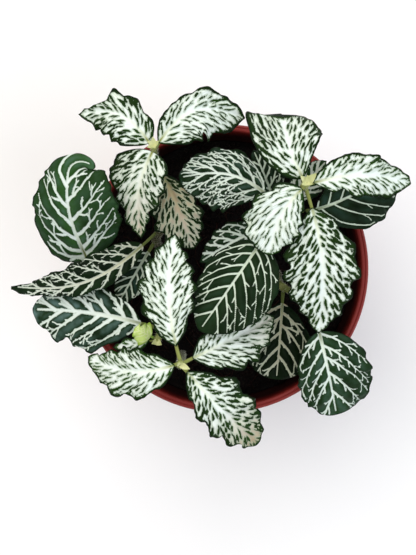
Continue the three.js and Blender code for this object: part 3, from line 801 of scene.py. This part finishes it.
def leafMaterial(look, colours):
    material, start = newMaterial(look + "Blade")
    shade, field = tints(colours), start.field
    place = start.place()
    fine = start.noise(place, 2600, 2.0)
    cloudy = start.noise(place, 160)
    rough = start.noise(place, 1100, 2.0)
    row = start.node("ShaderNodeTexNoise", {"noise_dimensions": "1D"}, {"W": field("row"), "Scale": 1.5})
    feathered = (row - 0.5) * 0.7 + (rough - 0.5) * 0.55 + (fine - 0.5) * 0.3
    mask = (field("white") + feathered * feathering[look]).step(-0.07, 0.09)
    centre = 1 - field("across").step(1.5, 7)
    inner = 1 - field("across").step(0.2, 1.2)
    green = layered(
        shade.deep,
        # the green lightens with the leaf's tone, more near the midrib: partly the leaf's own green, partly
        # painted shade, the tone set low on leaves that lie in shadow
        (field("tone") * (0.6 + centre * 0.7) + (cloudy - 0.35) * 0.4, shade.mid),
        # painted sheen: a bluish highlight drawn on the raised blade between the veins, stronger towards
        # the midrib
        (field("blue") * field("raised") * cloudy.step(0.3, 0.7) * (0.35 + centre * 0.65), shade.blueish),
        (1 - field("edge").step(0.1, 1.2), shade.margin))
    pale = layered(
        shade.pale,
        # painted shade: the pale veins turn tan by the leaf's shares for its base, middle and tip, where it
        # lies in shade
        (field("warm"), shade.paleWarm),
        (inner * (1 - field("along").step(0.05, 0.6)) * 0.4, shade.heart),
        (inner * (1 - field("along").step(0.0, 0.2)) * 0.75, shade.stalk),
        (cloudy.step(0.45, 0.8) * 0.18, shade.heart),
        # lines along the rows of barbs: partly the faint green between the barbs, partly painted shade of
        # the grooves beside the side veins
        (row.step(0.42, 0.68) * field("across").step(0.3, 2.5) * 0.4, shade.seam),
        ((1 - field("white").step(0.05, 0.75)) * 0.65, shade.seam))
    beneath = (mask * 0.35).mix(shade.under, shade.pale)
    colour = layered(green, (mask, pale), (field("under"), beneath), (field("stalk"), shade.stalk))
    roughness = 0.4 + cloudy * 0.16 + mask * 0.1
    setSurface(start, colour, roughness, 0.08, fine * 0.4 + rough * 0.6 - row * 1.4, 0.3, 0.00025)
    return material


leafMaterials = {look: leafMaterial(look, colours) for look, colours in leafColours.items()}
for number, (name, row) in enumerate(leafRows.items()):
    makeLeaf(name, row, number)
print("leaves made:", len(leafRows))


# Stems: a foot in the soil, the joints in order, and the bracts at the top, each with its heading and lift
# in degrees, its length and its half width

stemRows = {
    "stem_back_left": dict(
        foot=(-33, 45), joints=("backLeftLow", "backLeft"),
        bracts=((95, 38, 4.83, 1.25), (290, 45, 3.78, 1.125), (35, 32, 3.78, 1.125), (205, 30, 4.2, 1.25),
            (150, 35, 4.41, 1.125))),
    "stem_back_right": dict(
        foot=(19, 14), joints=("rightBase", "rightLow", "rightMid", "backRight"),
        bracts=((140, 30, 4.83, 1.375), (45, 28, 6.3, 1.625), (205, 35, 4.2, 1.125), (335, 40, 3.78, 1.125),
            (90, 35, 4.2, 1.125))),
    "stem_front": dict(
        foot=(-20.5, -42), joints=("front",), bracts=((105, 60, 5.25, 1.375), (338, 25, 5.775, 1.25))),
    "stem_middle_left": dict(foot=(-27, 6), joints=("middleLow", "middleLeft"), bracts=()),
    "stem_young": dict(
        foot=(-27, -19), joints=("youngLow", "young"),
        bracts=((330, 35, 4.2, 1.375), (200, 45, 3.675, 1.25))),
    "stem_right": dict(
        foot=(27, -2), joints=("rightFrontLow", "rightFront"), bracts=((70, 60, 3.15, 1.25),)),
    "stem_left": dict(foot=(-46, 4), joints=("left",), bracts=((350, 60, 2.625, 1.25),)),
}

stemForm = dict(
    rooted=18, straightFoot=3, pastJoint=1.4, radius=1.75, topRadius=1.35, swell=0.28, sides=20,
    step=0.5, hairs=16, hairLength=(0.5, 1.1), hairRadius=0.05,
    colours=dict(
        old="#34351b", young="#828d4b", streak="#4a3524", joint="#a8ad66", bract="#dadbac", ripe="#bfc684",
        light="#f0f0c0", hair="#d9d8c4"))


def blend(a, b, t, low, high):  # from a at low to b at high
    return (a * (high - t) + b * (t - low)) / (high - low)


def splineThrough(points, step):  # a centripetal spline through the points, evenly sampled
    points = np.array(points, float)
    ends = [2 * points[0] - points[1], *points, 2 * points[-1] - points[-2]]
    fine = []
    for a, b, c, d in zip(ends, ends[1:], ends[2:], ends[3:]):
        gaps = [max(np.linalg.norm(y - x), 1e-4) ** 0.5 for x, y in ((a, b), (b, c), (c, d))]
        k0, k1, k2, k3 = np.cumsum([0, *gaps])
        t = np.linspace(k1, k2, 40)[:, None]
        ab, bc, cd = blend(a, b, t, k0, k1), blend(b, c, t, k1, k2), blend(c, d, t, k2, k3)
        fine.append(blend(blend(ab, bc, t, k0, k2), blend(bc, cd, t, k1, k3), t, k1, k2)[:-1])
    fine = np.concatenate([*fine, points[-1:]])
    run = np.append(0, np.cumsum(np.linalg.norm(np.diff(fine, axis=0), axis=1)))
    even = np.linspace(0, run[-1], max(int(run[-1] / step), 4))
    return np.stack([np.interp(even, run, fine[:, k]) for k in range(3)], -1)


def addHair(shape, root, direction, length, radius, spot):
    side = unit(np.cross(direction, (0.3, 0.5, 0.81)))
    other = np.cross(direction, side)
    angles = np.array([0, 2.1, 4.2])[:, None]
    foot = root + radius * (side * np.cos(angles) + other * np.sin(angles))
    tip = np.repeat((root + direction * length)[None], 3, 0) + 0.1 * (foot - root)
    shape.tube(np.stack([foot, tip]), (*spot, spot[0] + 0.006, spot[1] + 0.006), spot, spot, hair=1.0)


def addBract(shape, root, heading, lift, length, widest, spot, rng):  # a small folded leaf
    heading, lift = math.radians(heading), math.radians(lift)
    flat = np.array([math.cos(heading), math.sin(heading), 0.0])
    s = np.linspace(0, 1, 14)
    lean = lift + np.radians(rng.uniform(10, 35)) * s
    steps = flat[None] * np.cos(lean)[:, None] + up * np.sin(lean)[:, None]
    centre = root + np.concatenate([np.zeros((1, 3)), np.cumsum(steps[:-1], 0)]) * length / 13
    side = np.cross(flat, up)
    normal = np.cross(steps, side[None])
    half = widest * np.sin(np.pi * np.clip(0.12 + 0.88 * s, 0, 1) ** 0.75) ** 0.8 + 0.12
    angle = np.linspace(0, 2 * np.pi, 16, endpoint=False)
    over = np.cos(angle)[None, :]
    rise = 0.55 * half[:, None] * over ** 2 + 0.2 * np.sin(angle)[None, :]
    points = centre[:, None] + side * (half[:, None] * over)[..., None] - normal[:, None] * rise[..., None]
    shape.tube(points, (spot, 0.72, spot + 0.14, 0.96), (spot, 0.98), (spot + 0.05, 0.98),
               bract=1.0, ripe=s[:, None])


def makeStem(name, row, number):
    rng = np.random.default_rng(number + 301)
    form = stemForm
    nodes = [np.array(joints[joint], float) for joint in row["joints"]]
    foot = np.array([*row["foot"], soilLevel], float)
    below = nodes[-2] if len(nodes) > 1 else foot
    top = nodes[-1] + unit(nodes[-1] - below) * form["pastJoint"]
    roots = [foot - up * (form["rooted"] - seatGap), foot - up * form["straightFoot"]]
    path = splineThrough([*roots, *nodes, top], form["step"])
    share = np.linspace(0, 1, len(path))
    near = np.min([np.linalg.norm(path - node, axis=1) for node in nodes], axis=0)
    radius = form["radius"] + (form["topRadius"] - form["radius"]) * share
    radius *= 1 + form["swell"] * np.exp(-(near / 2) ** 2) + 0.05 * ripple(rng, share * 60, (3.1, 7.7))
    radius[-1] *= 0.75
    shape = Shape()
    skin = tubeRings(path, radius, form["sides"])
    pale = 1 if row["bracts"] else 0.15  # stems without bracts are drawn darker all along: painted shade
    shape.tube(skin, (0.01, 0.01, 0.99, 0.6), (0.9, 0.98), (0.94, 0.98),
               joint=pale * np.exp(-(near / 2.2) ** 2)[:, None], young=pale * share[:, None])
    seen = path[:, 2] > soilLevel
    for k in range(int(form["hairs"] * seen.sum() * form["step"])):
        ring = rng.choice(np.flatnonzero(seen))
        turn = rng.integers(form["sides"])
        out = unit(skin[ring, turn] - path[ring])
        direction = unit(out + up * rng.uniform(-0.2, 0.5) + rng.normal(0, 0.2, 3))
        spot = (0.01 + 0.009 * (k % 105), 0.62 + 0.009 * ((k // 105) % 10))
        length = rng.uniform(*form["hairLength"])
        addHair(shape, skin[ring, turn], direction, length, form["hairRadius"], spot)
    for k, bract in enumerate(row["bracts"]):
        addBract(shape, top - up * 0.3, *bract, 0.02 + 0.15 * k, rng)
    piece = shape.build(name.replace("stem_", "stalk_"), stemMaterial)
    finishPiece(piece, "stem", name)


def makeStemMaterial(name):
    material, start = newMaterial(name)
    shade, field = tints(stemForm["colours"]), start.field
    place = start.place()
    streak = start.noise(start.stretched(place, (1, 1, 0.2)), 900)
    cloudy = start.noise(place, 220)
    # darker towards the foot, lighter towards the top: partly older skin low down, partly painted shade low
    # among the leaves
    skin = layered(
        shade.old, (field("young").step(0.3, 1.0), shade.young),
        (streak.step(0.5, 0.75) * 0.5, shade.streak), (field("joint") * 0.55, shade.joint))
    bract = layered(shade.bract, (field("ripe"), shade.ripe), (cloudy.step(0.45, 0.7) * 0.5, shade.light))
    colour = layered(skin, (field("bract"), bract), (field("hair"), shade.hair))
    setSurface(start, colour, 0.55 + cloudy * 0.2, 0.4, streak + cloudy * 0.5, 0.35, 0.0003)
    return material


stemMaterial = makeStemMaterial("stemSkin")
for number, (name, row) in enumerate(stemRows.items()):
    makeStem(name, row, number)
print("stems made:", len(stemRows))


# Pot: turned from its profile, with a rolled lip, a groove, a banded rim, a foot and drain holes

pot = dict(
    height=108, rimRadius=70, rimTopWidth=3.8, skirt=11, baseRadius=49, wall=1.6, footHeight=3,
    footWidth=2.4, padRadius=14, holes=6, holeRadius=4, holeCircle=31, sides=144,
    corner=0.55, wobble=0.0008,
    colours=dict(
        dark="#6a1511", light="#80211b", streak="#97332a", lip="#a63a34", speck="#4d1512",
        inside="#160403"))


def rounded(profile, radius, steps=4):  # the profile with each inner corner rounded off
    points = [np.array(profile[0], float)]
    for before, corner, after in zip(profile, profile[1:], profile[2:]):
        before, corner, after = (np.array(point, float) for point in (before, corner, after))
        back, ahead = before - corner, after - corner
        cut = min(radius, 0.45 * np.linalg.norm(back), 0.45 * np.linalg.norm(ahead))
        first, last = corner + unit(back) * cut, corner + unit(ahead) * cut
        for share in np.linspace(0, 1, steps):
            points.append((1 - share) ** 2 * first + 2 * share * (1 - share) * corner + share ** 2 * last)
    points.append(np.array(profile[-1], float))
    return np.array(points)


def split(profile, longest):  # more points along the straight runs
    out = [profile[:1]]
    for a, b in zip(profile, profile[1:]):
        count = max(int(np.linalg.norm(b - a) / longest), 1)
        out.append(a + (b - a) * np.linspace(0, 1, count + 1)[1:, None])
    return np.concatenate(out)


def potSide(z):  # the radius of the outer wall
    wallTop = pot["rimRadius"] - pot["rimTopWidth"] + pot["wall"]
    return pot["baseRadius"] + (wallTop - pot["baseRadius"]) * z / pot["height"]


def makePot():
    top, rim, wall, outer = pot["height"], pot["rimRadius"], pot["wall"], potSide
    floorTop = pot["footHeight"] + wall
    inFoot = pot["baseRadius"] - pot["footWidth"]
    inTop = outer(top) - wall
    profile = [
        (0.01, 0), (pot["padRadius"], 0), (pot["padRadius"] + 1, pot["footHeight"]),
        (inFoot, pot["footHeight"]), (inFoot, 0), (outer(0), 0), (outer(8), 8), (outer(8) + 0.25, 8.6),
        (outer(top - 24), top - 24), (outer(top - 24) + 0.5, top - 23.4),
        (outer(top - 20) + 0.5, top - 20.6), (outer(top - 20), top - 20), (outer(top - wall), top - wall),
        (rim - wall, top - wall), (rim - wall, top - pot["skirt"]), (rim, top - pot["skirt"]),
        (rim - 0.1, top - 3.2), (rim - 0.25, top - 2.8), (rim - 0.25, top - 1), (rim - 0.9, top - 0.1),
        (rim - 1.6, top), (rim - 1.9, top - 0.5), (rim - 2.2, top), (inTop + 0.5, top - 0.1),
        (inTop, top - 0.8), (outer(floorTop) - wall, floorTop), (0.01, floorTop),
    ]
    profile = split(rounded(profile, pot["corner"]), 4)
    angles = np.linspace(0, 2 * np.pi, pot["sides"], endpoint=False)
    wobble = 1 + pot["wobble"] * np.sin(2 * angles + 0.7)
    radius, height = profile[:, :1], profile[:, 1:]
    points = np.stack([
        radius * np.cos(angles) * wobble, radius * np.sin(angles) * wobble, height + 0 * angles], -1)
    shape = Shape()
    onTop = np.argmax(profile[:, 1])
    # the points of the inner wall, which the material paints nearly black as shade
    inner = (np.arange(len(profile)) > onTop)[:, None] * (radius < inTop + 0.6)
    shape.tube(points, (0.01, 0.01, 0.99, 0.99), (0.995, 0.995), (0.995, 0.985), inner=inner)
    piece = shape.build("nurseryPot", potMaterial)
    cutter = Shape()
    for k in range(pot["holes"]):
        turn = 2 * math.pi * (k + 0.5) / pot["holes"]
        centre = np.array([math.cos(turn), math.sin(turn), 0]) * pot["holeCircle"]
        line = centre + up * np.linspace(pot["footHeight"] - 3, floorTop + 3, 4)[:, None]
        cutter.tube(tubeRings(line, [pot["holeRadius"]] * 4, 32), (0, 0, 1, 1), (0, 0), (0, 0))
    drill = cutter.build("drill")
    cut = piece.modifiers.new("drain", "BOOLEAN")
    cut.object = drill
    cut.solver = "EXACT"
    bpy.context.view_layer.update()
    holed = bpy.data.meshes.new_from_object(piece.evaluated_get(bpy.context.evaluated_depsgraph_get()))
    piece.modifiers.clear()
    piece.data = holed
    bpy.data.objects.remove(drill)
    finishPiece(piece, "pot", "pot")


def makePotMaterial(name):
    material, start = newMaterial(name)
    shade = tints(pot["colours"])
    place = start.place()
    cloudy = start.noise(place, 40)
    speck = start.noise(place, 1400, 2.0)
    streak = start.noise(start.stretched(place, (1, 1, 0.06)), 260)
    height = start.node("ShaderNodeSeparateXYZ", None, {0: place}, 2)
    # painted shade: the inner wall below the rim is drawn nearly black, as the shade inside the pot
    inside = start.field("inner") * (1 - height.step(0.1, 0.109))
    colour = layered(
        shade.dark, (cloudy, shade.light), (streak.step(0.5, 0.8) * 0.2, shade.streak),
        # painted highlight: the top band of the rim is drawn lighter, where light falls on it
        (height.step(0.104, 0.1085) * 0.35, shade.lip), (speck.step(0.66, 0.72) * 0.4, shade.speck),
        (inside * 0.95, shade.inside))
    roughness = 0.34 + cloudy * 0.2 + speck * 0.08
    setSurface(start, colour, roughness, 0.28, streak * 0.6 + speck * 0.3, 0.2, 0.0003)
    return material


potMaterial = makePotMaterial("potPlastic")
makePot()
print("pot made")


# Soil: an uneven top of crumbs and fibres on a plain block

# The soil's colours are the peat's own dark brown, drawn near black to paint the deep shade inside the pot
# too
soil = dict(
    roughness=1.4, bottom=4.9, rings=70, sides=200, crumbs=2600, crumbSize=(0.5, 1.9),
    fibres=330, fibreLength=(4, 13), fibreRadius=0.14,
    colours=dict(dark="#050303", light="#120a08", cloud="#110907", crumb="#241512", fibre="#2e1712"))


def soilHeight(x, y):
    lump = np.sin(x * 0.31 + 1.7) * np.cos(y * 0.27) + 0.6 * np.sin(x * 0.13 - y * 0.21 + 0.4)
    grain = np.sin(x * 1.3 + 2 * np.sin(y * 0.9)) * np.sin(y * 1.1 + 1.5 * np.sin(x * 0.8))
    small = np.sin(x * 2.9 + 1.7 * np.sin(y * 2.3)) * np.cos(y * 3.1 + np.sin(x * 2.1))
    return soilLevel + soil["roughness"] * lump + 0.45 * grain + 0.22 * small


def potInside(z):
    return potSide(z) - pot["wall"] - seatGap


def makeSoil():
    rng = np.random.default_rng(77)
    shape = Shape()
    angles = np.linspace(0, 2 * np.pi, soil["sides"], endpoint=False)
    outer = potInside(soilLevel) - 0.3
    radii = np.linspace(0.4, outer, soil["rings"])[:, None]
    x, y = radii * np.cos(angles), radii * np.sin(angles)
    inward = np.clip((outer - radii) / 3, 0, 1)
    z = soilLevel + (soilHeight(x, y) - soilLevel) * inward - 0.3 * (1 - inward)
    flat = np.stack([0.36 + 0.34 * x / outer, 0.36 + 0.34 * y / outer], -1)
    flat = np.concatenate([flat, flat[:, :1]], 1)
    top = shape.grid(np.stack([x, y, z], -1), wrap=True, uv=flat)
    shape.cap(top[0][::-1], (0.36, 0.36))
    depths = np.linspace(soilLevel - 0.3, soil["bottom"], 12)
    wall = np.stack([np.stack([potInside(depth) * np.cos(angles), potInside(depth) * np.sin(angles),
                               np.full_like(angles, depth)], -1) for depth in depths - 1e-3])
    side = shape.grid(wall, (0.72, 0.01, 0.99, 0.3), wrap=True)
    shape.strip(top[-1], side[0], (0.72, 0.31, 0.99, 0.32))
    shape.cap(side[-1], (0.9, 0.36))
    feet = np.array([row["foot"] for row in stemRows.values()], float)
    ball = bmesh.new()
    bmesh.ops.create_icosphere(ball, subdivisions=1, radius=1)
    corners = np.array([vertex.co for vertex in ball.verts])
    sides = [[vertex.index for vertex in face.verts] for face in ball.faces]
    ball.free()
    around = np.linspace(0, 2 * np.pi, 3, endpoint=False)
    triangle = np.stack([np.cos(around), np.sin(around)], -1)
    for k in range(soil["crumbs"]):
        distance, turn = (outer - 1) * math.sqrt(rng.random()), rng.uniform(0, 2 * np.pi)
        centre = np.array([distance * math.cos(turn), distance * math.sin(turn)])
        if np.linalg.norm(feet - centre, axis=1).min() < 3:
            continue
        size = rng.uniform(*soil["crumbSize"]) * rng.uniform(0.5, 1)
        stone = corners * rng.uniform(0.65, 1.25, (len(corners), 1)) * rng.uniform(0.6, 1.2, 3) * size
        stone = turnedAbout(stone, rng.uniform(0, 2 * np.pi))
        first = shape.count
        shape.faces += [[first + corner for corner in face] for face in sides]
        shape.addPoints(stone + (*centre, float(soilHeight(*centre)) + 0.25 * size),
                        {"crumb": np.full(len(stone), rng.random())})
        spot = np.array([0.01 + 0.0185 * (k % 52), 0.73 + 0.005 * ((k // 52) % 50)])
        shape.corners.append(np.tile(spot + 0.0024 * triangle, (len(sides), 1)))
    for k in range(soil["fibres"]):
        length, bend = rng.uniform(*soil["fibreLength"]), rng.uniform(-1.6, 1.6)
        s = np.linspace(0, 1, 9)
        directions = rng.uniform(0, 2 * np.pi) + bend * s
        distance, turn = (outer - 7) * math.sqrt(rng.random()), rng.uniform(0, 2 * np.pi)
        x = distance * math.cos(turn) + np.cumsum(np.cos(directions)) * length / 9
        y = distance * math.sin(turn) + np.cumsum(np.sin(directions)) * length / 9
        keep = np.hypot(x, y) < outer - 1
        if keep.sum() < 5:
            continue
        z = soilHeight(x, y) + 0.5 + rng.uniform(0, 1.6) * np.sin(np.pi * s)
        line = np.stack([x, y, z], -1)[keep]
        rings = tubeRings(line, soil["fibreRadius"] * rng.uniform(0.6, 1.3) * np.ones(len(line)), 4)
        spot = 0.73 + 0.02 * (k % 12)
        shape.tube(rings, (spot, 0.4, spot + 0.015, 0.6), (0.74, 0.63), (0.76, 0.63),
                   fibre=rng.uniform(0.5, 1))
    piece = shape.build("pottingSoil", soilMaterial)
    finishPiece(piece, "soil", "soil")


def makeSoilMaterial(name):
    material, start = newMaterial(name)
    shade = tints(soil["colours"])
    place = start.place()
    rough = start.noise(place, 700, 5.0)
    cloudy = start.noise(place, 60)
    colour = layered(
        shade.dark, (rough.step(0.35, 0.75), shade.light), (cloudy.step(0.45, 0.7) * 0.4, shade.cloud),
        (start.field("crumb") * 0.3, shade.crumb), (start.field("fibre"), shade.fibre))
    setSurface(start, colour, 0.7 + rough * 0.25, 0.12, rough, 0.8, 0.0008)
    return material


soilMaterial = makeSoilMaterial("peatSoil")
makeSoil()
print("soil made")


# Floor, light and camera

stage = {
    "camera": {"x": -7.71, "y": -4.34, "height": 658, "focalPixels": 1141.6, "imageHeight": 555},
    "floor": {"size": 6, "colour": "#fefefe"},
    "world": {"colour": "#f3f4f5", "strength": 0.5},
    "lights": {
        "key": {"place": (-0.55, 0.42, 1.4), "size": 1.4, "watts": 15, "colour": "#fffaf2"},
        "fill": {"place": (0.9, -0.5, 1.0), "size": 1.4, "watts": 9, "colour": "#eaf2ff"},
        "back": {"place": (0.2, 1.2, 0.8), "size": 0.9, "watts": 3, "colour": "#ffffff"},
    },
}


def makeFloor(look):
    size = look["size"]
    mesh = bpy.data.meshes.new("floor")
    corners = [(x * size, y * size, 0) for x, y in ((-1, -1), (1, -1), (1, 1), (-1, 1))]
    mesh.from_pydata(corners, [], [(0, 1, 2, 3)])
    material, start = newMaterial("floorPaint")
    grain = start.noise(start.place(), 30)
    setSurface(start, tint(look["colour"]), 0.8 + grain * 0.1)
    mesh.materials.append(material)
    floor = bpy.data.objects.new("floor", mesh)
    scene.collection.objects.link(floor)


def makeLights(look):
    world = bpy.data.worlds.new("studio")
    world.use_nodes = True
    background = world.node_tree.nodes["Background"]
    background.inputs["Color"].default_value = tint(look["world"]["colour"])
    background.inputs["Strength"].default_value = look["world"]["strength"]
    scene.world = world
    for name, form in look["lights"].items():
        light = bpy.data.lights.new(name, "AREA")
        light.energy = form["watts"]
        light.size = form["size"]
        light.color = tint(form["colour"])[:3]
        lamp = bpy.data.objects.new(name, light)
        lamp.location = form["place"]
        aim = Vector((0, 0, 0.12)) - lamp.location
        lamp.rotation_mode = "QUATERNION"
        lamp.rotation_quaternion = aim.to_track_quat("-Z", "Y")
        scene.collection.objects.link(lamp)


def makeCamera(look):
    lens = bpy.data.cameras.new("camera")
    lens.lens = look["focalPixels"] / look["imageHeight"] * lens.sensor_width
    lens.clip_start = 0.01
    camera = bpy.data.objects.new("camera", lens)
    camera.location = (look["x"] * millimetre, look["y"] * millimetre, look["height"] * millimetre)
    scene.collection.objects.link(camera)
    scene.camera = camera


makeFloor(stage["floor"])
makeLights(stage)
makeCamera(stage["camera"])
scene.view_settings.view_transform = "Standard"
print("stage made")
